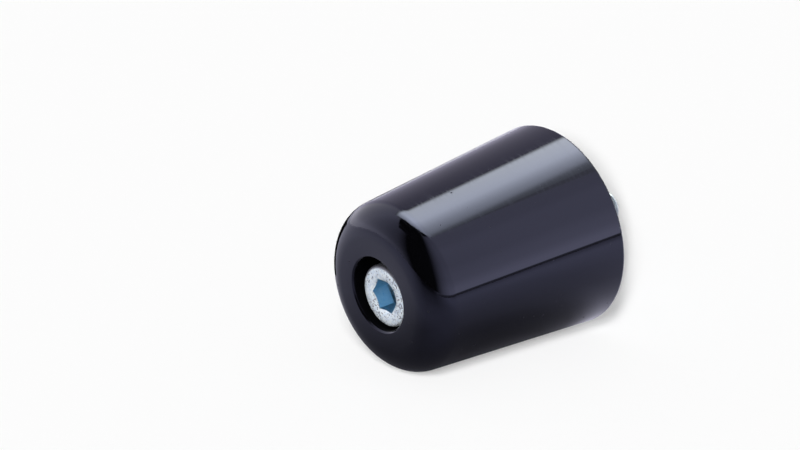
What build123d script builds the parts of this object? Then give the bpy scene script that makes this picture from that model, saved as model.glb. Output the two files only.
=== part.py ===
from build123d import *
import os
from math import cos, radians, tan

# A bar end weight for a motorbike handlebar, in millimetres.
# A turned, tapered weight stands against the end of the bar. A hex socket cap screw, sunk in its
# nose, goes through it into the bar.
# The seat face lies on the XZ plane with its centre at the origin. The bar runs off along +Y, the
# nose points along -Y, and +Z is up.

# The weight, turned from round bar
rear_diameter = 33.0        # large end, at the bar
nose_diameter = 27.0        # small end, where the taper would meet the nose face
weight_length = 36.5
nose_radius = 5.0           # rounding from the taper into the nose face
rear_edge = 0.3             # chamfer round the seat face
mouth_edge = 0.25           # chamfer round the mouth of the counterbore
bore_edge = 0.4             # chamfer at both ends of the bore, clear of the radius under the head

# The cap screw, M6
screw_diameter = 6.0
screw_length = 41.0         # from under the head to the tip, which just shows behind the large end
tip_chamfer = 0.6
head_diameter = 10.0
head_height = 6.0
head_edge_radius = 0.4
under_head_radius = 0.25
socket_across_flats = 5.0
socket_depth = 3.0          # to the end of the flats
socket_point_angle = 120.0  # included angle of the drilled point below the flats and of the mouth
socket_mouth_margin = 0.1   # how far the conical mouth reaches past the corners of the hexagon

# How the two fit together
head_recess = 1.3           # the top of the head lies this far below the nose face
head_play = 1.0             # between the side of the head and the counterbore, all round
screw_play = 0.75           # between the shank and the bore, all round
rest_gap = 0.05             # left under the loose screw where it lies in the bore

# Sizes that follow from those above
counterbore_radius = head_diameter / 2 + head_play
counterbore_depth = head_height + head_recess
bore_radius = screw_diameter / 2 + screw_play
nose_y = -weight_length
seat_y = nose_y + counterbore_depth
head_top_y = seat_y - head_height
tip_y = seat_y + screw_length
screw_z = -(screw_play - rest_gap)
corner_radius = socket_across_flats / 2 / cos(radians(30))
mouth_radius = corner_radius + socket_mouth_margin
point_slope = tan(radians(socket_point_angle / 2))

os.makedirs("parts", exist_ok=True)

# Weight: a turned taper with a rounded nose, then the counterbore and the bore from the nose
nose_face = Plane(origin=(0, nose_y, 0), x_dir=(1, 0, 0), z_dir=(0, -1, 0))

with BuildPart() as weight_body:
    with BuildSketch(Plane.XY) as taper_section:
        with BuildLine():
            Polyline(
                (0, 0),
                (rear_diameter / 2, 0),
                (nose_diameter / 2, nose_y),
                (0, nose_y),
                close=True,
            )
        make_face()
    revolve(axis=Axis.Y)
    rims = weight_body.edges().filter_by(GeomType.CIRCLE).sort_by(Axis.Y)
    fillet(rims[0], nose_radius)
    chamfer(rims[-1], rear_edge)
    with Locations(nose_face):
        CounterBoreHole(bore_radius, counterbore_radius, counterbore_depth)
    circles = weight_body.edges().filter_by(GeomType.CIRCLE)
    chamfer(circles.group_by(Axis.Y)[0].sort_by(SortBy.RADIUS)[0], mouth_edge)
    circles = weight_body.edges().filter_by(GeomType.CIRCLE)
    chamfer(circles.group_by(SortBy.RADIUS)[0], bore_edge)

weight_body.part.label = "weight_body"
export_step(weight_body.part, "parts/weight_body.step")

# Cap screw: turned head and shank, with a hexagonal socket; it lies low in the bore, under its weight
screw_axis = Axis((0, 0, screw_z), (0, 1, 0))
head_face = Plane(origin=(0, head_top_y, screw_z), x_dir=(1, 0, 0), z_dir=(0, -1, 0))
socket_floor = head_face.offset(-socket_depth)

with BuildPart() as cap_screw:
    with BuildSketch(Plane.XY.offset(screw_z)) as screw_section:
        with BuildLine():
            Polyline(
                (0, head_top_y),
                (head_diameter / 2, head_top_y),
                (head_diameter / 2, seat_y),
                (screw_diameter / 2, seat_y),
                (screw_diameter / 2, tip_y),
                (0, tip_y),
                close=True,
            )
        make_face()
    revolve(axis=screw_axis)
    rims = cap_screw.edges().filter_by(GeomType.CIRCLE).sort_by(Axis.Y)
    fillet(rims[0], head_edge_radius)
    chamfer(rims[-1], tip_chamfer)
    rims = cap_screw.edges().filter_by(GeomType.CIRCLE).filter_by_position(Axis.Y, seat_y, seat_y)
    fillet(rims.sort_by(SortBy.RADIUS)[0], under_head_radius)
    with BuildSketch(head_face) as hexagon:
        RegularPolygon(socket_across_flats / 2, 6, major_radius=False)
    extrude(amount=-socket_depth, mode=Mode.SUBTRACT)
    with Locations(head_face):
        Cone(
            0,
            mouth_radius,
            mouth_radius / point_slope,
            align=(Align.CENTER, Align.CENTER, Align.MAX),
            mode=Mode.SUBTRACT,
        )
    with Locations(socket_floor):
        Cone(
            0,
            socket_across_flats / 2,
            socket_across_flats / 2 / point_slope,
            align=(Align.CENTER, Align.CENTER, Align.MAX),
            mode=Mode.SUBTRACT,
        )

cap_screw.part.label = "cap_screw"
export_step(cap_screw.part, "parts/cap_screw.step")

print("counterbore", 2 * counterbore_radius, "by", counterbore_depth, "deep")
print("bore", 2 * bore_radius, "screw stands", round(tip_y, 2), "behind the seat face")
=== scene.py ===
# %% [markdown]
# Bar end weight: a lesson in Blender.
# The object is a weight for the end of a motorbike handlebar. A maker turns it from round steel bar, gives
# it a gloss black coat, and a zinc plated cap screw, sunk in its nose, holds it in the bar.
# The imported CAD model comes first, because it is the frame that everything else is fitted to. Its box is
# kept, and hidden once the dressed pieces are made.

# %% Load the imported model
import math
import bmesh
import bpy
from mathutils import Matrix, Vector


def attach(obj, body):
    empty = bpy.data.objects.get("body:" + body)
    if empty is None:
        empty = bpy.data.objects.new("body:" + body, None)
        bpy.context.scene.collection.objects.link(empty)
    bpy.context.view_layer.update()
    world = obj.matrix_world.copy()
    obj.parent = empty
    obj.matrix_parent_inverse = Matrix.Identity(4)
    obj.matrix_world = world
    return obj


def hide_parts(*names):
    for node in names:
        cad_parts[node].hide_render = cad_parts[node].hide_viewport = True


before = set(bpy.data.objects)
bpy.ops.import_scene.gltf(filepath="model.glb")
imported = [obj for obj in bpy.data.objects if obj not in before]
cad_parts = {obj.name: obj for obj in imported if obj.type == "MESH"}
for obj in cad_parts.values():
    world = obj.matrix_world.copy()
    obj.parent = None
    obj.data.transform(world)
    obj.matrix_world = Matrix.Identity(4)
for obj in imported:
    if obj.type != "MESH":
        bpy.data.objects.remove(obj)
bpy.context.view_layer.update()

MM = 0.001
print("CAD nodes:", sorted(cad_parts))

# %% [markdown]
# The sizes are the ones of the CAD model, in millimetres. The weight's axis is the Y axis: the seat face
# that meets the handlebar is at y = 0 and the nose points along -Y. The screw lies a little low in its
# bore, because it is loose there, as in the photograph.

# %% Sizes in millimetres
REAR_RADIUS = 16.5
NOSE_CORNER_RADIUS = 13.5
WEIGHT_LENGTH = 36.5
NOSE_ROUNDING = 5.0
COUNTERBORE_RADIUS = 6.0
COUNTERBORE_DEPTH = 7.3
BORE_RADIUS = 3.75
HEAD_RADIUS = 5.0
HEAD_HEIGHT = 6.0
SCREW_RADIUS = 3.0
SCREW_LENGTH = 41.0
SCREW_DROP = 0.7
NOSE_Y = -WEIGHT_LENGTH
SEAT_Y = NOSE_Y + COUNTERBORE_DEPTH
HEAD_TOP_Y = SEAT_Y - HEAD_HEIGHT
TIP_Y = SEAT_Y + SCREW_LENGTH
TAPER = math.atan((REAR_RADIUS - NOSE_CORNER_RADIUS) / WEIGHT_LENGTH)
print(f"taper {math.degrees(TAPER):.2f} degrees a side, screw tip {TIP_Y:.1f} mm behind the seat face")

# %% [markdown]
# A cone that lies on a table rests along one straight line on its side. So the floor isn't level in the
# CAD frame: it is tipped by the angle of the taper. An empty stands where the floor meets the rear rim,
# tipped with it, and carries the whole studio. In the studio's own frame z is straight up from the floor,
# x is to the right seen from the nose, and y runs back along the weight.

# %% The studio's frame
studio = bpy.data.objects.new("studio", None)
bpy.context.scene.collection.objects.link(studio)
studio.location = (0, 0, -REAR_RADIUS * MM)
studio.rotation_euler = (-TAPER, 0, 0)
FLOOR_UP = Vector((0, math.sin(TAPER), math.cos(TAPER)))
print("floor normal", [round(c, 4) for c in FLOOR_UP])

# %% [markdown]
# The camera stands where the photographer's stood: in front of the nose, to its right and above. A long
# lens keeps the lines of the taper calm. The camera is level with the floor, so its sideways direction is
# the cross product of the floor's normal and the line of sight.

# %% The camera
CAMERA_AZIMUTH = 52.08
CAMERA_ELEVATION = 23.54
CAMERA_DISTANCE = 479.35
CAMERA_AIM = Vector((-15.581, -19.039, 1.352))
LENS_LENGTH = 135
SENSOR_WIDTH = 36
NEAREST_SEEN = 10


def direction(azimuth, elevation):
    """A direction in degrees: azimuth 0 is in front of the nose, and 90 is to the right."""
    turn, rise = math.radians(azimuth), math.radians(elevation)
    return Vector((math.sin(turn) * math.cos(rise), -math.cos(turn) * math.cos(rise), math.sin(rise)))


away = direction(CAMERA_AZIMUTH, CAMERA_ELEVATION)
sideways = FLOOR_UP.cross(away).normalized()
upright = away.cross(sideways)
camera_data = bpy.data.cameras.new("camera")
camera_data.lens = LENS_LENGTH
camera_data.sensor_width = SENSOR_WIDTH
camera_data.clip_start = NEAREST_SEEN * MM
camera = bpy.data.objects.new("camera", camera_data)
bpy.context.scene.collection.objects.link(camera)
camera.matrix_world = (
    Matrix.Translation((CAMERA_AIM + away * CAMERA_DISTANCE) * MM)
    @ Matrix((sideways, upright, away)).transposed().to_4x4()
)
bpy.context.scene.camera = camera
bpy.context.scene.view_settings.view_transform = "Standard"
print("camera at", [round(c, 4) for c in camera.location])

# %% [markdown]
# Every material in this lesson is a tree of nodes. Small helpers keep the trees readable. The first ones
# make a material with an empty tree, feed a socket with a value or with another node's output, add a node
# with its sockets fed by name, and show a finished shader. The others are short words for what turns up
# again and again: sums, distances, smooth steps, noise and mixed colours.

# %% Helpers for node trees
def new_material(name):
    material = bpy.data.materials.new(name)
    material.use_nodes = True
    material.node_tree.nodes.clear()
    return material, material.node_tree


def feed(tree, socket, value):
    """Plugs another node's output into a socket, or sets the socket to a plain value."""
    if isinstance(value, bpy.types.NodeSocket):
        tree.links.new(value, socket)
    else:
        socket.default_value = value


def add_node(tree, kind, settings=None, **sockets):
    """A new node. A socket's name is written with _ for each space."""
    node = tree.nodes.new(kind)
    for setting, value in (settings or {}).items():
        setattr(node, setting, value)
    for socket, value in sockets.items():
        feed(tree, node.inputs[socket.replace("_", " ")], value)
    return node


def show_surface(tree, shader):
    add_node(tree, "ShaderNodeOutputMaterial", Surface=shader)


print("helpers for node trees are ready")

# %% Helpers for numbers, places and colours
def math_node(tree, operation, *values, clamp=False):
    node = add_node(tree, "ShaderNodeMath", {"operation": operation, "use_clamp": clamp})
    for socket, value in zip(node.inputs, values):
        feed(tree, socket, value)
    return node.outputs[0]


def distance(tree, first, second):
    """How far away a point is that lies so far one way and so far square to it."""
    squares = [math_node(tree, "MULTIPLY", side, side) for side in (first, second)]
    return math_node(tree, "SQRT", math_node(tree, "ADD", *squares))


def steps(tree, value, low, high, to_low=0.0, to_high=1.0):
    """A smooth step from to_low, where the value is at low, to to_high, where it is at high."""
    node = add_node(
        tree, "ShaderNodeMapRange", {"interpolation_type": "SMOOTHSTEP"},
        Value=value, From_Min=low, From_Max=high, To_Min=to_low, To_Max=to_high)
    return node.outputs["Result"]


def noise(tree, place, scale, detail, **more):
    node = add_node(tree, "ShaderNodeTexNoise", Vector=place, Scale=scale, Detail=detail, **more)
    return node.outputs["Fac"]


def mixed_colour(tree, share, first, second):
    node = add_node(tree, "ShaderNodeMix", {"data_type": "RGBA"}, Factor=share, A=first, B=second)
    return node.outputs["Result"]


def place_of(tree):
    """The place on a thing, in its own coordinates."""
    return add_node(tree, "ShaderNodeTexCoord").outputs["Object"]


def split_place(tree, place):
    return add_node(tree, "ShaderNodeSeparateXYZ", Vector=place).outputs


print("helpers for numbers, places and colours are ready")

# %% [markdown]
# Every board of the studio, and the paper too, is brighter in one place than in another. Photographers get
# such gradients by the way a lamp falls on a board. Here a colour ramp does it: a list of (place, level)
# pairs along x, y or z, along a diagonal of x and y, along the azimuth round the object, or along the
# distance from its middle. In the studio's frame azimuth 0 is straight in front of the nose, and 90
# degrees is to the right. The studio is large, so its places and distances are in metres where nothing
# else is said.

# %% Ramps along a direction
DIAGONAL_SLOPE = 0.9


def place_along(tree, way):
    """How far a place is along one of the ways that a ramp may follow."""
    x, y, z = split_place(tree, place_of(tree))
    if way == "azimuth":
        front = math_node(tree, "MULTIPLY", y, -1.0)
        return math_node(tree, "DEGREES", math_node(tree, "ARCTAN2", x, front))
    if way == "away":
        return distance(tree, x, math_node(tree, "ADD", y, WEIGHT_LENGTH / 2 * MM))
    if way == "diagonal":
        return math_node(tree, "ADD", x, math_node(tree, "MULTIPLY", y, DIAGONAL_SLOPE))
    return {"x": x, "y": y, "z": z}[way]


def ramp_level(tree, value, ramp):
    low, high = ramp[0][0], ramp[-1][0]
    along = add_node(tree, "ShaderNodeMapRange", Value=value, From_Min=low, From_Max=high)
    levels = add_node(tree, "ShaderNodeValToRGB", Fac=along.outputs["Result"])
    stops = levels.color_ramp.elements
    while len(stops) < len(ramp):
        stops.new(0.5)
    for stop, (position, level) in zip(stops, ramp):
        stop.position = (position - low) / (high - low)
        stop.color = (level, level, level, 1)
    return levels.outputs["Color"]


def ramps_product(tree, ramps):
    product = 1.0
    for way, ramp in ramps.items():
        product = math_node(tree, "MULTIPLY", product, ramp_level(tree, place_along(tree, way), ramp))
    return product


print("a ramp's diagonal is x plus", DIAGONAL_SLOPE, "times y")

# %% [markdown]
# The floor is plain white paper. It is seen from above only: a camera that is lower than the tipped floor
# looks through it. In a real room the shadow on it is filled from all sides, so a little of the paper's
# white is emitted towards the camera, which keeps the shadow light.
# Only rays from the camera, from a mirror or through glass see that white. The rays that light other
# things don't, so the floor looks lighter without lighting the object more.

# %% The paper
FIBRE_SCALE = 900.0
FIBRE_HEIGHT = 0.1
BLACK = (0, 0, 0, 1)


def seen_directly(tree):
    """1 for a ray from the camera, from a mirror or through glass, and 0 for a ray that lights things."""
    rays = add_node(tree, "ShaderNodeLightPath").outputs
    seen = math_node(tree, "MAXIMUM", rays["Is Camera Ray"], rays["Is Glossy Ray"])
    return math_node(tree, "MAXIMUM", seen, rays["Is Transmission Ray"])


def paper(name, colour, own_white, shades):
    """Matt paper, one-sided.

    Each of own_white is a set of ramps for a glow of its own, and each of shades is one towards black.
    """
    material, tree = new_material(name)
    fibre = noise(tree, place_of(tree), scale=FIBRE_SCALE, detail=2.0)
    bump = add_node(tree, "ShaderNodeBump", Strength=0.05, Distance=FIBRE_HEIGHT * MM, Height=fibre)
    shaded = colour
    for shade in shades:
        shaded = mixed_colour(tree, ramps_product(tree, shade), shaded, BLACK)
    matt = add_node(tree, "ShaderNodeBsdfDiffuse", Color=shaded, Normal=bump.outputs["Normal"])
    white = 0.0
    for spot in own_white:
        white = math_node(tree, "ADD", white, ramps_product(tree, spot))
    strength = math_node(tree, "MULTIPLY", seen_directly(tree), white)
    glowing = add_node(tree, "ShaderNodeEmission", Color=colour, Strength=strength)
    both = add_node(tree, "ShaderNodeAddShader")
    feed(tree, both.inputs[0], matt.outputs["BSDF"])
    feed(tree, both.inputs[1], glowing.outputs["Emission"])
    side = add_node(tree, "ShaderNodeNewGeometry")
    clear = add_node(tree, "ShaderNodeBsdfTransparent")
    one_sided = add_node(tree, "ShaderNodeMixShader", Fac=side.outputs["Backfacing"])
    feed(tree, one_sided.inputs[1], both.outputs["Shader"])
    feed(tree, one_sided.inputs[2], clear.outputs["BSDF"])
    show_surface(tree, one_sided.outputs["Shader"])
    print("paper", name, "with", len(own_white), "glows and", len(shades), "shades")
    return material


# %% The floor
FLOOR_SIZE = 4.0
FLOOR_WHITE = 0.09


def deselect_all():
    if bpy.context.object and bpy.context.object.mode != "OBJECT":
        bpy.ops.object.mode_set(mode="OBJECT")
    bpy.ops.object.select_all(action="DESELECT")


def into_studio(thing, material):
    """Hangs a thing in the studio's frame, apart from the object, and gives it its material."""
    thing.parent = studio
    thing.data.materials.append(material)


def lay_plane(name, width, depth, place, material):
    deselect_all()
    bpy.ops.mesh.primitive_plane_add(size=1)
    plane = bpy.context.object
    plane.name = name
    plane.scale = (width, depth, 1)
    plane.location = place
    bpy.ops.object.transform_apply(location=True, rotation=True, scale=True)
    into_studio(plane, material)
    return plane


def show_to(thing, camera=False, diffuse=False, glossy=False, shadow=False):
    thing.visible_camera = camera
    thing.visible_diffuse = diffuse
    thing.visible_glossy = glossy
    thing.visible_transmission = glossy
    thing.visible_volume_scatter = False
    thing.visible_shadow = shadow


even_white = {"y": [(-1.0, FLOOR_WHITE), (1.0, FLOOR_WHITE)]}
floor_paper = paper("white paper", (0.84, 0.84, 0.84, 1), [even_white], [])
floor = lay_plane("floor", FLOOR_SIZE, FLOOR_SIZE, (0, 0, 0), floor_paper)
show_to(floor, camera=True, diffuse=True, shadow=True)
print("floor laid,", FLOOR_SIZE, "m wide")

# %% [markdown]
# Polished black mirrors the paper too. There it may get as dark as it likes, next to the object and towards
# the open front of the studio, and a little light comes back up behind the weight and under its rear rim.
# The floor itself has to stay white, so a second sheet, seen in reflections only, lies just above it. Its
# darkening next to the object, under the nose and at the foot of the right board is painted shadow, its
# darkening towards the open front is painted shade, and its glows behind the weight and under the rear rim
# are painted light.

# %% The mirrored sheet
SHEET_LIFT = 0.02
# Four sets of ramps darken the sheet as painted shadow and painted shade, and two give it painted light.
painted_shade_towards_front = {
    "azimuth": [(-75, 0.0), (-50, 0.15), (-22, 0.2), (-10, 0.4), (0, 0.75), (10, 1.0), (35, 1.0),
                (48, 0.7), (72, 0.0)],
    "away": [(0.03, 0.1), (0.055, 0.35), (0.075, 0.58), (0.11, 0.72), (0.26, 0.95)],
}
painted_shadow_under_the_nose = {
    "azimuth": [(-40, 0.0), (-20, 0.5), (-8, 1.0), (10, 1.0), (22, 0.4), (32, 0.0)],
    "away": [(0.018, 0.3), (0.024, 0.42), (0.032, 0.42), (0.042, 0.0)],
}
painted_shadow_next_to_it = {
    "away": [(0.012, 0.88), (0.018, 0.80), (0.022, 0.70), (0.025, 0.60), (0.03, 0.50), (0.036, 0.41),
             (0.045, 0.30), (0.055, 0.22), (0.07, 0.13), (0.09, 0.03), (0.12, 0.0)],
    "y": [(-0.01, 1.0), (0.005, 0.95), (0.02, 0.5)],
}
painted_shadow_at_board_foot = {
    "x": [(0.1, 0.0), (0.16, 0.25), (0.3, 0.4)],
    "y": [(-0.05, 0.0), (0.03, 1.0)],
}
painted_light_behind_it = {
    "x": [(-0.01, 0.0), (0.01, 1.0), (0.12, 1.0), (0.2, 0.0)],
    "y": [(0.01, 0.0), (0.03, 0.14), (0.05, 0.25)],
}
painted_light_under_the_rim = {
    "x": [(-0.005, 0.0), (0.003, 1.0), (0.012, 0.95), (0.018, 0.45), (0.026, 0.1), (0.04, 0.0)],
    "y": [(-0.0045, 0.0), (-0.002, 0.13), (0.0, 0.38), (0.002, 0.6), (0.02, 0.6)],
}
sheet_paper = paper(
    "mirrored paper", (0.88, 0.87, 1.04, 1), [painted_light_behind_it, painted_light_under_the_rim],
    [painted_shade_towards_front, painted_shadow_under_the_nose, painted_shadow_next_to_it, painted_shadow_at_board_foot])
sheet = lay_plane("mirrored_sheet", FLOOR_SIZE, FLOOR_SIZE, (0, 0, SHEET_LIFT * MM), sheet_paper)
show_to(sheet, glossy=True)
print("mirrored sheet laid", SHEET_LIFT, "mm over the floor")

# %% [markdown]
# Outlines are drawn in one way all through this lesson: a single point is extruded from corner to corner,
# as a pencil goes along. The same function draws the softbox here and the sections of the turned pieces
# further on, and the boards start from the same single point.

# %% Drawing an outline
PICK_REACH = 0.002


def start_point(name, place):
    """A new mesh of one point, left in edit mode with that point picked."""
    deselect_all()
    bpy.ops.mesh.primitive_plane_add(size=MM)
    piece = bpy.context.object
    piece.name = name
    piece.data.name = name
    bpy.ops.object.mode_set(mode="EDIT")
    bpy.context.tool_settings.mesh_select_mode = (True, False, False)
    bpy.ops.mesh.merge(type="CENTER")
    bpy.ops.transform.translate(value=place)
    return piece


def draw_section(name, corners, closed):
    """A line through the corners, each given as x and y in mm, in the XY plane."""
    first_x, first_y = corners[0]
    piece = start_point(name, (first_x * MM, first_y * MM, 0))
    for here, there in zip(corners, corners[1:]):
        step = ((there[0] - here[0]) * MM, (there[1] - here[1]) * MM, 0)
        bpy.ops.mesh.extrude_vertices_move(TRANSFORM_OT_translate={"value": step})
    if closed:
        pick_corners(piece, [corners[0], corners[-1]])
        bpy.ops.mesh.edge_face_add()
    print(name, "drawn through", len(corners), "corners")
    return piece


def pick_corners(piece, corners):
    bpy.ops.mesh.select_all(action="DESELECT")
    mesh = bmesh.from_edit_mesh(piece.data)
    for vertex in mesh.verts:
        near = min((vertex.co - Vector((r, y, 0)) * MM).length for r, y in corners)
        vertex.select_set(near < PICK_REACH * MM)
    mesh.select_flush_mode()
    bmesh.update_edit_mesh(piece.data)


# %% [markdown]
# The studio is a small white tent. A softbox hangs overhead and gives the broad highlight along the taper.
# Photographers use such a box because its even edge shows a curved surface well. Here it is a flat shape
# with a glow that is brightest a little to the left of the weight. It is seen in reflections, but out of
# the camera's sight. Its corners are in millimetres, as those of every outline are.

# %% The softbox
SOFTBOX_HEIGHT = 0.6
SOFTBOX_CORNERS = [
    (-345, -138), (-120, -134), (0, -112), (60, -70), (130, -20), (200, 60), (200, 410), (-345, 410),
]


def glow(name, colour, ramps):
    """An emission of one colour, whose strength is the product of its ramps."""
    material, tree = new_material(name)
    light = add_node(tree, "ShaderNodeEmission", Color=colour, Strength=ramps_product(tree, ramps))
    show_surface(tree, light.outputs["Emission"])
    return material


softbox_glow = glow("softbox glow", (0.98, 1.03, 0.98, 1), {
    "x": [(-0.345, 1.0), (-0.32, 3.0), (-0.295, 6.2), (-0.265, 7.5), (-0.2, 8.2), (-0.13, 9.0),
          (-0.065, 9.1), (-0.02, 7.9), (0.06, 5.6), (0.12, 4.3), (0.2, 2.9)],
    "y": [(-0.14, 0.5), (-0.08, 0.68), (-0.025, 0.92), (0.01, 1.07), (0.05, 1.05), (0.16, 0.93),
          (0.24, 0.91), (0.28, 0.96), (0.32, 1.04)],
    "diagonal": [(0.31, 1.0), (0.34, 0.88), (0.36, 0.64), (0.39, 0.5), (0.6, 0.45)],
})
softbox = draw_section("softbox", SOFTBOX_CORNERS, closed=True)
bpy.ops.mesh.select_all(action="SELECT")
bpy.ops.mesh.edge_face_add()
bpy.ops.transform.translate(value=(0, 0, SOFTBOX_HEIGHT))
bpy.ops.object.mode_set(mode="OBJECT")
into_studio(softbox, softbox_glow)
show_to(softbox, glossy=True)
print("softbox hung", SOFTBOX_HEIGHT, "m over the floor, corners", len(softbox.data.vertices))

# %% [markdown]
# The tent's walls stand on the left and at the back. Each is an upright edge that is spun round the
# object, so the wall is bent as hung paper is. Like the softbox, the walls have a plain gradient and are
# seen in reflections only.

# %% The walls of the tent
COOL = (0.99, 0.97, 1.08, 1)
LEFT_AZIMUTHS = (-5, -105)
BACK_AZIMUTHS = (-105, -150)
WALL_DISTANCE = 0.7
WALL_HEIGHT = 1.3
WALL_STEPS = 24


def upright_edge(name, x, y, low, high):
    """A new mesh with one upright edge, left in edit mode with that edge picked."""
    board = start_point(name, (x, y, low))
    bpy.ops.mesh.extrude_vertices_move(TRANSFORM_OT_translate={"value": (0, 0, high - low)})
    bpy.ops.mesh.select_all(action="SELECT")
    return board


def set_up(board, material):
    bpy.ops.object.mode_set(mode="OBJECT")
    into_studio(board, material)
    show_to(board, glossy=True)
    print(board.name, "stands from", [round(min(c[i] for c in board.bound_box), 3) for i in range(3)],
          "to", [round(max(c[i] for c in board.bound_box), 3) for i in range(3)])


def bent_board(name, azimuths, near, low, high, material):
    """A board bent round the object: its upright edge is spun about the studio's upright axis."""
    start, end = (math.radians(a) for a in azimuths)
    board = upright_edge(name, near * math.sin(start), -near * math.cos(start), low, high)
    bpy.ops.mesh.spin(steps=WALL_STEPS, angle=start - end, center=(0, 0, 0), axis=(0, 0, 1))
    set_up(board, material)


wall_fade = [(0.0, 1.25), (0.07, 1.35), (0.14, 1.1), (0.25, 1.0), (1.1, 0.97)]
left_glow = glow("left wall glow", COOL, {
    "azimuth": [(-105, 1.0), (-100, 1.22), (-88, 1.27), (-62, 1.31), (-50, 1.10), (-40, 0.94),
                (-30, 0.74), (-20, 0.55), (-11, 0.22), (-5, 0.02)],
    "z": wall_fade,
})
bent_board("left_wall", LEFT_AZIMUTHS, WALL_DISTANCE, 0.0, WALL_HEIGHT, left_glow)
back_glow = glow("back wall glow", (0.88, 0.84, 1.07, 1), {
    "azimuth": [(-150, 0.95), (-136, 0.74), (-122, 0.60), (-112, 0.74), (-105, 1.0)],
    "z": wall_fade,
})
bent_board("back_wall", BACK_AZIMUTHS, WALL_DISTANCE, 0.0, WALL_HEIGHT, back_glow)

# %% [markdown]
# The tent is open at the front, also overhead, which polished black shows as a black band round its nose.
# A dark bent board and a dark lid stand for that opening. A white world would do for the rest, but not
# here, because the band is what draws the shape of the nose.

# %% The open front
FRONT_AZIMUTHS = (62, -8)
FRONT_DISTANCE = 0.75
FRONT_LOW, FRONT_HIGH = -0.04, 1.5
LID_WIDTH, LID_DEPTH = 0.475, 0.53
LID_OVER_SOFTBOX = 0.02
LID_PLACE = (0.0025, -0.245, SOFTBOX_HEIGHT + LID_OVER_SOFTBOX)
DARK_LEVEL = 0.008
dark_glow = glow("open front", COOL, {"z": [(-1.0, DARK_LEVEL), (1.0, DARK_LEVEL)]})
bent_board("open_front", FRONT_AZIMUTHS, FRONT_DISTANCE, FRONT_LOW, FRONT_HIGH, dark_glow)
lid = lay_plane("open_top", LID_WIDTH, LID_DEPTH, LID_PLACE, dark_glow)
show_to(lid, glossy=True)
print("open_top hung", LID_PLACE[2], "m over the floor")

# %% [markdown]
# A white board stands close on the right, and the flank mirrors it. It doesn't quite reach the floor, and
# the dim gap under it is the fine dark line along the flank. A small black flag on the left draws the edge
# of the nose against the white.

# %% The right board and the flag
BOARD_FOOT = ((0.150, -0.158), (0.285, 0.315))
BOARD_GAP = 0.0105
BOARD_TOP = 1.4
FLAG_FOOT = ((-0.040, -0.035), (-0.040, 0.06))
FLAG_TOP = 0.0195


def flat_board(name, foot, low, high, material):
    """A flat board that stands on a line between two points of the floor."""
    start, end = (Vector(point) for point in foot)
    board = upright_edge(name, start.x, start.y, low, high)
    bpy.ops.mesh.extrude_edges_move(TRANSFORM_OT_translate={"value": (*(end - start), 0)})
    set_up(board, material)


right_glow = glow("right board glow", COOL, {
    "azimuth": [(45, 0.02), (53, 0.29), (62, 0.60), (71, 0.77), (81, 0.94), (100, 0.99), (113, 1.18),
                (140, 1.25)],
    "z": [(0.0, 1.85), (0.03, 1.85), (0.05, 1.60), (0.065, 1.45), (0.1, 1.36), (0.14, 1.20), (0.28, 1.18),
          (0.37, 1.05), (0.57, 1.0), (1.4, 1.05)],
})
flat_board("right_board", BOARD_FOOT, BOARD_GAP, BOARD_TOP, right_glow)
# The gap is a strip with a dim glow of its own: painted shadow under the board, seen in reflections only.
gap_glow = glow("gap under the board", COOL, {"z": [(0.0, 0.25), (0.007, 0.35), (BOARD_GAP, 0.9)]})
flat_board("board_gap", BOARD_FOOT, 0.0, BOARD_GAP, gap_glow)
flat_board("black_flag", FLAG_FOOT, 0.0, FLAG_TOP, dark_glow)

# %% [markdown]
# The world is the white of the tent where no board stands. Camera, glossy and transmission rays see it at
# a strength of 1, which is plain white. Other rays get little of it. The floor's light comes from a tall
# strip beside the camera, made of four soft lamps, one over the other. The lowest stands nearly where the
# camera does, so the object hides most of its shadow and only a soft rim shows. The higher ones throw
# theirs down under the side of the weight.

# %% The world
WORLD_FILL = 0.1
world = bpy.data.worlds.new("white tent")
bpy.context.scene.world = world
world.use_nodes = True
sky = world.node_tree
sky.nodes.clear()
sky_strength = math_node(sky, "MULTIPLY_ADD", seen_directly(sky), 1.0 - WORLD_FILL, WORLD_FILL)
background = add_node(sky, "ShaderNodeBackground", Color=(1, 1, 1, 1), Strength=sky_strength)
add_node(sky, "ShaderNodeOutputWorld", Surface=background.outputs["Background"])
print("world", world.name, "fills with", WORLD_FILL)

# %% The lamps
def far_lamp(name, azimuth, height, strength, width):
    """A lamp so far away that its light is even. Its azimuth, height and width are in degrees."""
    lamp_data = bpy.data.lights.new(name, "SUN")
    lamp_data.energy = strength
    lamp_data.angle = math.radians(width)
    lamp = bpy.data.objects.new(name, lamp_data)
    bpy.context.scene.collection.objects.link(lamp)
    lamp.parent = studio
    towards_lamp = direction(azimuth, height)
    lamp.location = towards_lamp
    lamp.rotation_euler = towards_lamp.to_track_quat("Z", "Y").to_euler()
    show_to(lamp, diffuse=True, shadow=True)
    print("lamp", name, "of strength", strength)


far_lamp("lowest_lamp", azimuth=45.3, height=20, strength=3.5, width=2.6)
far_lamp("second_lamp", azimuth=43, height=25.5, strength=1.45, width=5)
far_lamp("third_lamp", azimuth=44, height=33.5, strength=1.28, width=6)
far_lamp("highest_lamp", azimuth=47, height=41, strength=0.8, width=8)

# %% [markdown]
# The weight is turned on a lathe, and a lathe leaves marks: fine rings round the axis, where the tool went
# along. The screw gets such rings too, but finer ones. Two effects are shared by the finishes, so each is a
# node group with its own inputs.
# The turning marks are noise that changes quickly along the path of the tool, which runs along the side
# and then across the face, and slowly round the ring. That path is simply y plus the radius.

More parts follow.
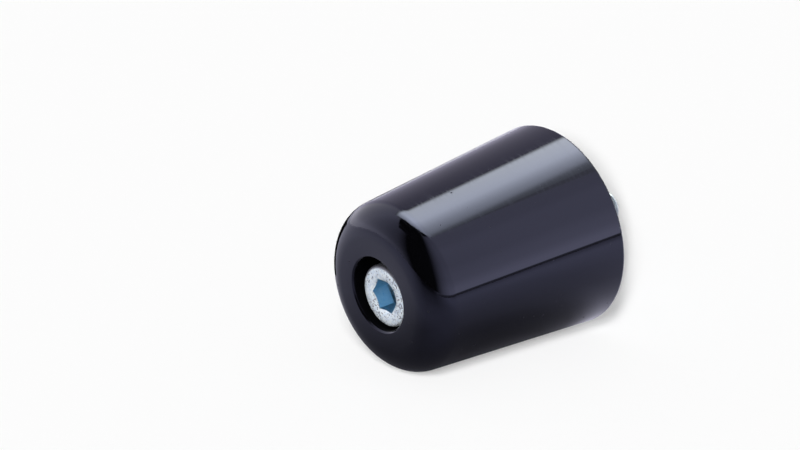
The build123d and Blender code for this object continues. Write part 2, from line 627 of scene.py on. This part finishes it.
# %% Node group: turning marks
def new_group(name, inputs, outputs):
    """An empty group with its sockets. Each input has a name, a kind and a value to start with."""
    group = bpy.data.node_groups.new(name, "ShaderNodeTree")
    for socket, kind, value in inputs:
        made = group.interface.new_socket(socket, in_out="INPUT", socket_type=kind)
        made.default_value = value
    for socket in outputs:
        group.interface.new_socket(socket, in_out="OUTPUT", socket_type="NodeSocketFloat")
    return group, group.nodes.new("NodeGroupInput").outputs, group.nodes.new("NodeGroupOutput").inputs


FROM_AXIS = ("From axis", "NodeSocketVector", (0, 0, 0))
STREAK_RANGE = (0.45, 0.7)


def make_turning_marks():
    group, given, result = new_group(
        "turning marks",
        [FROM_AXIS, ("Pitch", "NodeSocketFloat", 0.4 * MM), ("Arc", "NodeSocketFloat", 10 * MM)],
        ["Height", "Streak"],
    )
    x, y, z = split_place(group, given["From axis"])
    tool_path = math_node(group, "ADD", y, distance(group, x, z))
    slow = add_node(
        group, "ShaderNodeVectorMath", {"operation": "SCALE"},
        Vector=given["From axis"], Scale=math_node(group, "DIVIDE", 1.0, given["Arc"]))
    rings = add_node(
        group, "ShaderNodeTexNoise", {"noise_dimensions": "4D"}, Scale=1.0, Detail=1.0,
        Vector=slow.outputs["Vector"], W=math_node(group, "DIVIDE", tool_path, given["Pitch"]))
    feed(group, result["Height"], rings.outputs["Fac"])
    feed(group, result["Streak"], steps(group, rings.outputs["Fac"], *STREAK_RANGE))
    print("group", group.name, "has", len(group.nodes), "nodes")
    return group


turning_marks = make_turning_marks()

# %% [markdown]
# The other shared effect is specks: dust and pinholes in the black coat, and pits in the zinc. A Voronoi
# texture fills space with cells, and each cell draws a random colour. A cell gets a speck when one channel
# of that colour is under the share asked for, and another channel sets the speck's size.

# %% Node group: specks
def make_specks():
    group, given, result = new_group(
        "specks",
        [FROM_AXIS, ("Spacing", "NodeSocketFloat", 1 * MM), ("Size", "NodeSocketFloat", 0.1),
         ("Share", "NodeSocketFloat", 0.3)],
        ["Mask"],
    )
    cells = add_node(
        group, "ShaderNodeTexVoronoi",
        Vector=given["From axis"], Scale=math_node(group, "DIVIDE", 1.0, given["Spacing"])).outputs
    draws = add_node(group, "ShaderNodeSeparateColor", Color=cells["Color"]).outputs
    least = math_node(group, "MULTIPLY", given["Size"], 0.5)
    reach = math_node(group, "MULTIPLY_ADD", draws["Red"], given["Size"], least)
    inside = math_node(group, "SUBTRACT", reach, cells["Distance"])
    soft_edge = math_node(group, "MULTIPLY", reach, 0.5)
    inside = math_node(group, "DIVIDE", inside, soft_edge, clamp=True)
    chosen = math_node(group, "LESS_THAN", draws["Green"], given["Share"])
    feed(group, result["Mask"], math_node(group, "MULTIPLY", inside, chosen))
    print("group", group.name, "has", len(group.nodes), "nodes")
    return group


specks = make_specks()

# %% [markdown]
# The black coat is smooth and deep: hardly any light comes back from inside it, and nearly all that is
# seen is mirrored at its surface, with a cool tint. So the base colour is close to black, and the specular
# tint gives the blue. The turning marks under the coat are a very shallow bump, and some rings are less
# smooth than others, which frays the edge of the highlight. That shows on the upper side most. A few
# pinholes and dust specks break up the gloss. Inside the counterbore and the bore the coat is thin and
# dull, so the same function makes a second, rougher finish for them.

# %% Finishes: gloss black and dull black
DEEP_BLACK = (0.0005, 0.0005, 0.0007, 1)
DUST_GREY = (0.005, 0.005, 0.006, 1)
COAT_TINT = (0.66, 0.69, 1.0, 1)
COAT_RING_PITCH = 0.18
COAT_RING_ARC = 6.0
DUST_SPACING = 2.0
CALM_BELOW, FRAYED_ABOVE = 4.0, 10.0
CALM_SHARE = 0.25
SPECK_ROUGHNESS = 0.8


def use_group(tree, group, place, **values):
    node = add_node(tree, "ShaderNodeGroup", {"node_tree": group}, From_axis=place, **values)
    return node.outputs


def black_coat(name, smoothest, dullest, specular):
    """A black coat, given the roughness of its smoothest and of its dullest rings."""
    material, tree = new_material(name)
    place = place_of(tree)
    marks = use_group(tree, turning_marks, place, Pitch=COAT_RING_PITCH * MM, Arc=COAT_RING_ARC * MM)
    dust = use_group(tree, specks, place, Spacing=DUST_SPACING * MM, Size=0.08, Share=0.9)["Mask"]
    height = split_place(tree, place)["Z"]
    frayed = steps(tree, height, CALM_BELOW * MM, FRAYED_ABOVE * MM, CALM_SHARE, 1.0)
    dull = math_node(tree, "MULTIPLY", marks["Streak"], frayed)
    rough = steps(tree, dull, 0.0, 1.0, smoothest, dullest)
    rough = math_node(tree, "MULTIPLY_ADD", dust, SPECK_ROUGHNESS, rough)
    relief = math_node(tree, "SUBTRACT", marks["Height"], dust)
    bump = add_node(tree, "ShaderNodeBump", Strength=0.2, Distance=0.01 * MM, Height=relief)
    coat = add_node(
        tree, "ShaderNodeBsdfPrincipled", IOR=1.5, Specular_Tint=COAT_TINT, Specular_IOR_Level=specular,
        Base_Color=mixed_colour(tree, dust, DEEP_BLACK, DUST_GREY), Roughness=rough,
        Normal=bump.outputs["Normal"])
    show_surface(tree, coat.outputs["BSDF"])
    print("finish", name)
    return material


gloss_black = black_coat("gloss black coat", smoothest=0.035, dullest=0.165, specular=0.5)
dull_black = black_coat("dull black coat", smoothest=0.5, dullest=0.6, specular=0.06)

# %% [markdown]
# The screw is zinc plated, which looks like silver with a breath of blue. The upper edge of the head, deep
# in the counterbore, gets a painted shadow, and the hollows of the thread get painted shade. It could be
# painted on the faces, but a mask worked out from the distance to the screw's axis follows the shape by
# itself.

# %% Painted shade on the screw
PITS_AND_PAINTED_SHADE_GREY = (0.13, 0.13, 0.15, 1)
RIM_SHADE_OUT = (4.35, 4.75)
RIM_SHADE_UP = (0.5, 3.0)
HOLLOW_SHADE_OUT = (2.4, 2.43)
HOLLOW_SHADE_FADE = (2.5, 2.9)
HOLLOW_SHADE_SHARE = 0.85
BEHIND_HEAD = (SEAT_Y, SEAT_Y + 0.1)


def between(tree, value, limits, *levels):
    """A smooth step between two limits in mm."""
    low, high = limits
    return steps(tree, value, low * MM, high * MM, *levels)


def painted_shade_mask(tree, place):
    """1 where the painted shade is deepest and 0 where there is none, round the screw's own axis."""
    x, y, z = split_place(tree, place)
    out = distance(tree, x, z)
    rim = math_node(tree, "MULTIPLY", between(tree, out, RIM_SHADE_OUT), between(tree, z, RIM_SHADE_UP))
    fade = between(tree, out, HOLLOW_SHADE_FADE, HOLLOW_SHADE_SHARE, 0.0)
    hollows = math_node(tree, "MULTIPLY", between(tree, out, HOLLOW_SHADE_OUT), fade)
    hollows = math_node(tree, "MULTIPLY", hollows, between(tree, y, BEHIND_HEAD))
    return math_node(tree, "MAXIMUM", rim, hollows)


# Real pits and flecks, and the painted shade on the screw, all take this grey.
print("grime has the colour", PITS_AND_PAINTED_SHADE_GREY[:3])

# %% [markdown]
# The plate isn't even: it has a soft mottle, and on the head's face there are dark flecks and pits where
# the forging left hollows. The rolled thread is cleaner and smoother, and in the socket the passivate is
# thick and shows its blue. So one function makes three finishes.

# %% Finishes: zinc plate, rolled zinc and blue passivate
ZINC_RING_PITCH = 0.12
ZINC_RING_ARC = 2.0
PIT_SPACING = 0.9
PIT_DARKNESS = 0.9
MOTTLE_RANGE = (0.35, 0.65)
FLECK_RANGE = (0.54, 0.64)
PATCH_RANGE = (0.30, 0.50)
ROUGH_RANGE = (0.3, 0.7)
MOTTLE_HEIGHT = 0.6
ROUGHNESS_SPREAD = 0.12


def zinc(name, dark, light, metal, rough, fleck_share, pit_share):
    """A zinc finish, mottled from dark to light. rough is the least roughness."""
    material, tree = new_material(name)
    centred = add_node(
        tree, "ShaderNodeMapping", Vector=place_of(tree), Location=(0, 0, SCREW_DROP * MM))
    place = centred.outputs["Vector"]
    marks = use_group(tree, turning_marks, place, Pitch=ZINC_RING_PITCH * MM, Arc=ZINC_RING_ARC * MM)
    pits = use_group(tree, specks, place, Spacing=PIT_SPACING * MM, Size=0.14, Share=pit_share)["Mask"]
    mottle = noise(tree, place, scale=1500.0, detail=4.0, Roughness=0.6)
    grain = noise(tree, place, scale=3200.0, detail=2.0)
    patches = noise(tree, place, scale=350.0, detail=1.0)
    plate = mixed_colour(tree, steps(tree, mottle, *MOTTLE_RANGE), dark, light)
    fleck = math_node(tree, "MULTIPLY", steps(tree, grain, *FLECK_RANGE), fleck_share)
    fleck = math_node(tree, "MULTIPLY", fleck, steps(tree, patches, *PATCH_RANGE))
    hollow = math_node(tree, "MAXIMUM", fleck, math_node(tree, "MULTIPLY", pits, PIT_DARKNESS))
    # The plate darkens to one grey at real flecks and pits, and where the shade is painted.
    pits_and_painted_shade = math_node(tree, "MAXIMUM", hollow, painted_shade_mask(tree, place))
    relief = math_node(tree, "MULTIPLY_ADD", mottle, MOTTLE_HEIGHT, marks["Height"])
    relief = math_node(tree, "SUBTRACT", relief, hollow)
    bump = add_node(tree, "ShaderNodeBump", Strength=0.5, Distance=0.04 * MM, Height=relief)
    metal_shader = add_node(
        tree, "ShaderNodeBsdfPrincipled", Metallic=metal,
        Base_Color=mixed_colour(tree, pits_and_painted_shade, plate, PITS_AND_PAINTED_SHADE_GREY),
        Roughness=steps(tree, mottle, *ROUGH_RANGE, rough, rough + ROUGHNESS_SPREAD),
        Normal=bump.outputs["Normal"])
    show_surface(tree, metal_shader.outputs["BSDF"])
    print("finish", name)
    return material


zinc_plate = zinc(
    "zinc plate", dark=(0.73, 0.83, 0.88, 1), light=(0.93, 1.0, 0.98, 1),
    metal=0.84, rough=0.42, fleck_share=0.8, pit_share=0.5)
rolled_zinc = zinc(
    "rolled zinc", dark=(0.70, 0.79, 0.84, 1), light=(0.86, 0.95, 0.95, 1),
    metal=0.9, rough=0.3, fleck_share=0.12, pit_share=0.12)
blue_passivate = zinc(
    "blue passivate", dark=(0.56, 0.81, 0.95, 1), light=(0.64, 0.88, 1.0, 1),
    metal=1.0, rough=0.27, fleck_share=0.0, pit_share=0.05)

# %% [markdown]
# A turned part is drawn as half of its section and spun round its axis, which is what a lathe does. The
# section starts as one point that is extruded from corner to corner, and its corners are then bevelled.
# A cylinder cut by Boolean tools would also do, but the spun section gives even rings of faces and exact
# roundings.

# %% Helpers for turned pieces
SAME_POINT = 0.001


def round_corners(piece, corners, width, segments):
    pick_corners(piece, corners)
    bpy.ops.mesh.bevel(offset=width * MM, segments=segments, profile=0.5, affect="VERTICES")


def close_mesh():
    """Merges doubled points, turns the faces outwards and leaves edit mode."""
    bpy.ops.mesh.select_all(action="SELECT")
    bpy.ops.mesh.remove_doubles(threshold=SAME_POINT * MM)
    bpy.ops.mesh.normals_make_consistent(inside=False)
    bpy.ops.object.mode_set(mode="OBJECT")


def spin_section(around):
    """Spins the section that is in edit mode once round the Y axis."""
    bpy.ops.mesh.select_all(action="SELECT")
    bpy.ops.mesh.spin(steps=around, angle=2 * math.pi, center=(0, 0, 0), axis=(0, 1, 0))
    close_mesh()


print("points closer than", SAME_POINT, "mm are one point")

# %% Helpers that finish a piece
SHARP_ANGLE = 32


def make_active(piece):
    deselect_all()
    piece.select_set(True)
    bpy.context.view_layer.objects.active = piece


def apply_modifier(piece, modifier):
    make_active(piece)
    bpy.ops.object.modifier_apply(modifier=modifier.name)


def smooth(piece):
    """Smooth shading with sharp edges kept, weighted so that flat faces stay flat next to a rounding."""
    make_active(piece)
    bpy.ops.object.shade_smooth_by_angle(angle=math.radians(SHARP_ANGLE))
    weighted = piece.modifiers.new("flat faces stay flat", "WEIGHTED_NORMAL")
    weighted.keep_sharp = True
    apply_modifier(piece, weighted)


def give_finishes(piece, finishes, choose):
    """Gives each face one of the finishes: choose says which, from the face's centre in mm."""
    for finish in finishes:
        piece.data.materials.append(finish)
    counts = [0] * len(finishes)
    for face in piece.data.polygons:
        face.material_index = finishes.index(choose(face.center / MM))
        counts[face.material_index] += 1
    for finish, count in zip(finishes, counts):
        print(piece.name, "has", count, "faces of", finish.name)


def tell(piece):
    size = [round(s / MM, 2) for s in piece.dimensions]
    print(piece.name, "faces", len(piece.data.polygons), "size in mm", size)


print("edges sharper than", SHARP_ANGLE, "degrees stay sharp")

# %% [markdown]
# The weight is one turned piece. Its section is a closed ring of corners: along the seat face, down the
# taper, across the nose face, into the counterbore and back through the bore. The nose gets the large
# rounding, and the edges that the coat softens get small ones. A bevel is given the distance from the
# corner to where the curve starts, which for a rounding is its radius over the tangent of half the angle.

# %% The turned weight
REAR_ROUNDING = 0.45
MOUTH_EDGE = 0.25
MOUTH_SOFTENING = 0.08
BORE_EDGE = 0.4
BORE_SOFTENING = 0.1
WEIGHT_FACES_ROUND = 256
rear_corner = (REAR_RADIUS, 0)
nose_corner = (NOSE_CORNER_RADIUS, NOSE_Y)
mouth_corners = [(COUNTERBORE_RADIUS + MOUTH_EDGE, NOSE_Y), (COUNTERBORE_RADIUS, NOSE_Y + MOUTH_EDGE)]
counterbore_corner = (COUNTERBORE_RADIUS, SEAT_Y)
rear_bore = [(BORE_RADIUS, -BORE_EDGE), (BORE_RADIUS + BORE_EDGE, 0)]
front_bore = [(BORE_RADIUS + BORE_EDGE, SEAT_Y), (BORE_RADIUS, SEAT_Y + BORE_EDGE)]
weight_corners = [
    *rear_bore, rear_corner, nose_corner, *mouth_corners, counterbore_corner, *front_bore,
]
weight = draw_section("turned_weight", weight_corners, closed=True)
nose_setback = NOSE_ROUNDING / math.tan((math.pi / 2 + TAPER) / 2)
rear_setback = REAR_ROUNDING / math.tan((math.pi / 2 - TAPER) / 2)
round_corners(weight, [nose_corner], nose_setback, segments=28)
round_corners(weight, [rear_corner], rear_setback, segments=7)
round_corners(weight, mouth_corners, MOUTH_SOFTENING, segments=3)
round_corners(weight, rear_bore + front_bore, BORE_SOFTENING, segments=2)
spin_section(WEIGHT_FACES_ROUND)
tell(weight)

# %% [markdown]
# The coat is sprayed on from outside, so little of it gets into the holes. The faces that lie no further
# from the axis than the counterbore's wall get the dull finish, and all others the gloss.

# %% Coat the weight
WALL_MARGIN = 0.01


def coat_of(centre):
    inside = math.hypot(centre.x, centre.z) < COUNTERBORE_RADIUS + WALL_MARGIN
    return dull_black if inside else gloss_black


give_finishes(weight, [gloss_black, dull_black], coat_of)
smooth(weight)
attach(weight, "root")
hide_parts("weight_body")

# %% [markdown]
# The screw is forged, knurled, broached and rolled, so it is made in that order: a round blank with its
# head and plain shank, straight knurl grooves round the head, a hexagonal socket with a conical mouth and
# a drilled point, and a rolled thread. The blank ends in a short cone inside the thread's first turns.

# %% The screw's blank
HEAD_EDGE = 0.4
HEAD_FOOT_EDGE = 0.2
UNDER_HEAD_ROUNDING = 0.25
THREAD_LENGTH = 24.0
THREAD_START_Y = TIP_Y - THREAD_LENGTH
CONE_START, CONE_END = -0.6, 0.4
CONE_END_RADIUS = 2.2
SCREW_FACES_ROUND = 144
head_corner = (HEAD_RADIUS, HEAD_TOP_Y)
head_foot = (HEAD_RADIUS, SEAT_Y)
under_head = (SCREW_RADIUS, SEAT_Y)
blank_corners = [
    (0, HEAD_TOP_Y),
    head_corner,
    head_foot,
    under_head,
    (SCREW_RADIUS, THREAD_START_Y + CONE_START),
    (CONE_END_RADIUS, THREAD_START_Y + CONE_END),
    (0, THREAD_START_Y + CONE_END),
]
screw = draw_section("socket_screw", blank_corners, closed=False)
round_corners(screw, [head_corner], HEAD_EDGE, segments=6)
round_corners(screw, [head_foot], HEAD_FOOT_EDGE, segments=3)
round_corners(screw, [under_head], UNDER_HEAD_ROUNDING, segments=4)
spin_section(SCREW_FACES_ROUND)
tell(screw)

# %% [markdown]
# Cutters are simple solids: a three-sided prism for a knurl groove, modelled once and copied round the
# head, a six-sided prism for the socket, and two cones. A Boolean modifier takes each away.

# %% Helpers for cutters
CONE_FACES_ROUND = 96


def cut(piece, cutter, operation="DIFFERENCE"):
    boolean = piece.modifiers.new("cut", "BOOLEAN")
    boolean.operation = operation
    boolean.object = cutter
    boolean.solver = "EXACT"
    apply_modifier(piece, boolean)
    bpy.data.objects.remove(cutter)


def edit_all():
    bpy.ops.object.mode_set(mode="EDIT")
    bpy.ops.mesh.select_all(action="SELECT")


def along_y():
    """A primitive stands along Z; this lays it along Y and puts its place in its mesh."""
    thing = bpy.context.object
    thing.rotation_euler = (math.radians(90), 0, 0)
    bpy.ops.object.transform_apply(location=True, rotation=True, scale=True)
    return thing


def prism(sides, radius, low_y, high_y, turn=0.0):
    deselect_all()
    bpy.ops.mesh.primitive_cylinder_add(
        vertices=sides, radius=radius * MM, depth=(high_y - low_y) * MM,
        location=(0, (low_y + high_y) / 2 * MM, 0))
    thing = along_y()
    edit_all()
    bpy.ops.transform.rotate(value=turn, orient_axis="Y", center_override=(0, 0, 0))
    bpy.ops.object.mode_set(mode="OBJECT")
    return thing


def cone(low_radius, low_y, high_radius, high_y):
    """A cone along Y, given its radius at the low and at the high end."""
    deselect_all()
    bpy.ops.mesh.primitive_cone_add(
        vertices=CONE_FACES_ROUND, radius1=high_radius * MM, radius2=low_radius * MM,
        depth=(high_y - low_y) * MM, location=(0, (low_y + high_y) / 2 * MM, 0))
    return along_y()


print("a cone has", CONE_FACES_ROUND, "faces round it")

# %% The knurl
KNURL_GROOVES = 36
KNURL_DEPTH = 0.16
KNURL_OVERRUN = 0.5
KNURL_FOOT = 0.7
groove = prism(3, 2 * KNURL_DEPTH, HEAD_TOP_Y - KNURL_OVERRUN, SEAT_Y - KNURL_FOOT)
edit_all()
bpy.ops.transform.resize(value=(math.sqrt(3), 1, 1), center_override=(0, 0, 0))
bpy.ops.transform.translate(value=(0, 0, -(HEAD_RADIUS + KNURL_DEPTH) * MM))
bpy.ops.mesh.spin(
    steps=KNURL_GROOVES - 1, dupli=True, angle=2 * math.pi * (KNURL_GROOVES - 1) / KNURL_GROOVES,
    center=(0, 0, 0), axis=(0, 1, 0))
close_mesh()
print("knurl cutter has", len(groove.data.polygons), "faces")
cut(screw, groove)
tell(screw)

# %% The socket
SOCKET_FLATS = 5.0
SOCKET_DEPTH = 3.0
SOCKET_POINT_ANGLE = 120
MOUTH_MARGIN = 0.1
HEXAGON_OVERRUN = 1.0
MOUTH_OVERRUN = 0.5
POINT_OVERLAP = 0.001
corner_radius = SOCKET_FLATS / 2 / math.cos(math.radians(30))
mouth_radius = corner_radius + MOUTH_MARGIN
point_slope = math.tan(math.radians(SOCKET_POINT_ANGLE / 2))
socket_end_y = HEAD_TOP_Y + SOCKET_DEPTH
hexagon = prism(6, corner_radius, HEAD_TOP_Y - HEXAGON_OVERRUN, socket_end_y, math.radians(30))
cut(screw, hexagon)
point_depth = SOCKET_FLATS / 2 / point_slope
drill_point = cone(SOCKET_FLATS / 2, socket_end_y - POINT_OVERLAP, 0, socket_end_y + point_depth)
cut(screw, drill_point)
mouth_depth = mouth_radius / point_slope
mouth = cone(
    mouth_radius + MOUTH_OVERRUN * point_slope, HEAD_TOP_Y - MOUTH_OVERRUN, 0, HEAD_TOP_Y + mouth_depth)
cut(screw, mouth)
tell(screw)

# %% [markdown]
# The thread is M6 with a pitch of 1 mm. One ridge of its profile, from hollow to hollow, is drawn as a
# section: an eighth of the pitch is flat on the crest and a quarter in the hollow. A Screw modifier winds
# it round the axis, one pitch forward each turn, and the open ends are cut square and filled.

# %% The rolled thread
THREAD_PITCH = 1.0
THREAD_TURNS = 27
THREAD_STEPS = 48
THREAD_DEPTH = 0.5413 * THREAD_PITCH
CREST_CLEARANCE = 0.02
CREST_SOFTENING = 0.05
HOLLOW_SOFTENING = 0.09
RUN_IN = 1.0
END_MARGIN = 0.3
crest = SCREW_RADIUS - CREST_CLEARANCE
hollow = crest - THREAD_DEPTH
ridge = [(hollow, 0), (hollow, 1 / 8), (crest, 7 / 16), (crest, 9 / 16), (hollow, 7 / 8), (hollow, 1)]
ridge = [(r, THREAD_START_Y - RUN_IN + share * THREAD_PITCH) for r, share in ridge]
thread = draw_section("thread", ridge, closed=False)
round_corners(thread, ridge[2:4], CREST_SOFTENING, segments=2)
round_corners(thread, [ridge[1], ridge[4]], HOLLOW_SOFTENING, segments=2)
bpy.ops.object.mode_set(mode="OBJECT")
helix = thread.modifiers.new("helix", "SCREW")
helix.axis = "Y"
helix.angle = 2 * math.pi
helix.screw_offset = THREAD_PITCH * MM
helix.iterations = THREAD_TURNS
helix.steps = THREAD_STEPS
helix.render_steps = THREAD_STEPS
helix.use_merge_vertices = True
helix.merge_threshold = SAME_POINT * MM
apply_modifier(thread, helix)
bpy.ops.object.mode_set(mode="EDIT")
for end_y, forward in ((THREAD_START_Y - END_MARGIN, -1), (TIP_Y + END_MARGIN, 1)):
    bpy.ops.mesh.select_all(action="SELECT")
    bpy.ops.mesh.bisect(
        plane_co=(0, end_y * MM, 0), plane_no=(0, forward, 0), use_fill=True, clear_outer=True)
close_mesh()
tell(thread)

# %% [markdown]
# The turned form of the screw's end, with its chamfer, trims the thread to shape, and the thread is then
# joined to the blank. All these cuts leave some doubled points and slivers, so what lies closer than
# 0.002 mm is merged at last.

# %% Trim the thread and join it to the blank
TIP_CHAMFER = 0.6
FORM_MARGIN = 0.1
FORM_FACES_ROUND = 96
SLIVER = 0.002
end_corners = [
    (0, THREAD_START_Y),
    (SCREW_RADIUS + FORM_MARGIN, THREAD_START_Y),
    (SCREW_RADIUS + FORM_MARGIN, TIP_Y - TIP_CHAMFER - FORM_MARGIN),
    (SCREW_RADIUS - TIP_CHAMFER, TIP_Y),
    (0, TIP_Y),
]
end_form = draw_section("end_form", end_corners, closed=False)
spin_section(FORM_FACES_ROUND)
cut(thread, end_form, "INTERSECT")
cut(screw, thread, "UNION")
edit_all()
bpy.ops.mesh.remove_doubles(threshold=SLIVER * MM)
bpy.ops.mesh.dissolve_degenerate(threshold=SLIVER * MM)
bpy.ops.object.mode_set(mode="OBJECT")
tell(screw)

# %% [markdown]
# The screw was modelled on the Y axis. Now it drops to where it lies in its bore, and its place goes into
# its mesh, so that the object itself stays at the origin. Plating covers all of it, but the finish isn't
# the same everywhere: the faces of the socket, of the head and behind the head each get their own.

# %% Lay the screw in its bore and give it its finishes
SOCKET_REACH = 2.75
SOCKET_FROM, SOCKET_TO = 0.2, 5.0


def plating_of(centre):
    out = math.hypot(centre.x, centre.z + SCREW_DROP)
    deep = centre.y - HEAD_TOP_Y
    if out < SOCKET_REACH and SOCKET_FROM < deep < SOCKET_TO:
        return blue_passivate
    return rolled_zinc if deep > HEAD_HEIGHT else zinc_plate


make_active(screw)
screw.location.z = -SCREW_DROP * MM
bpy.ops.object.transform_apply(location=True, rotation=True, scale=True)
give_finishes(screw, [zinc_plate, blue_passivate, rolled_zinc], plating_of)
smooth(screw)
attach(screw, "root")
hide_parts("cap_screw")
tell(screw)
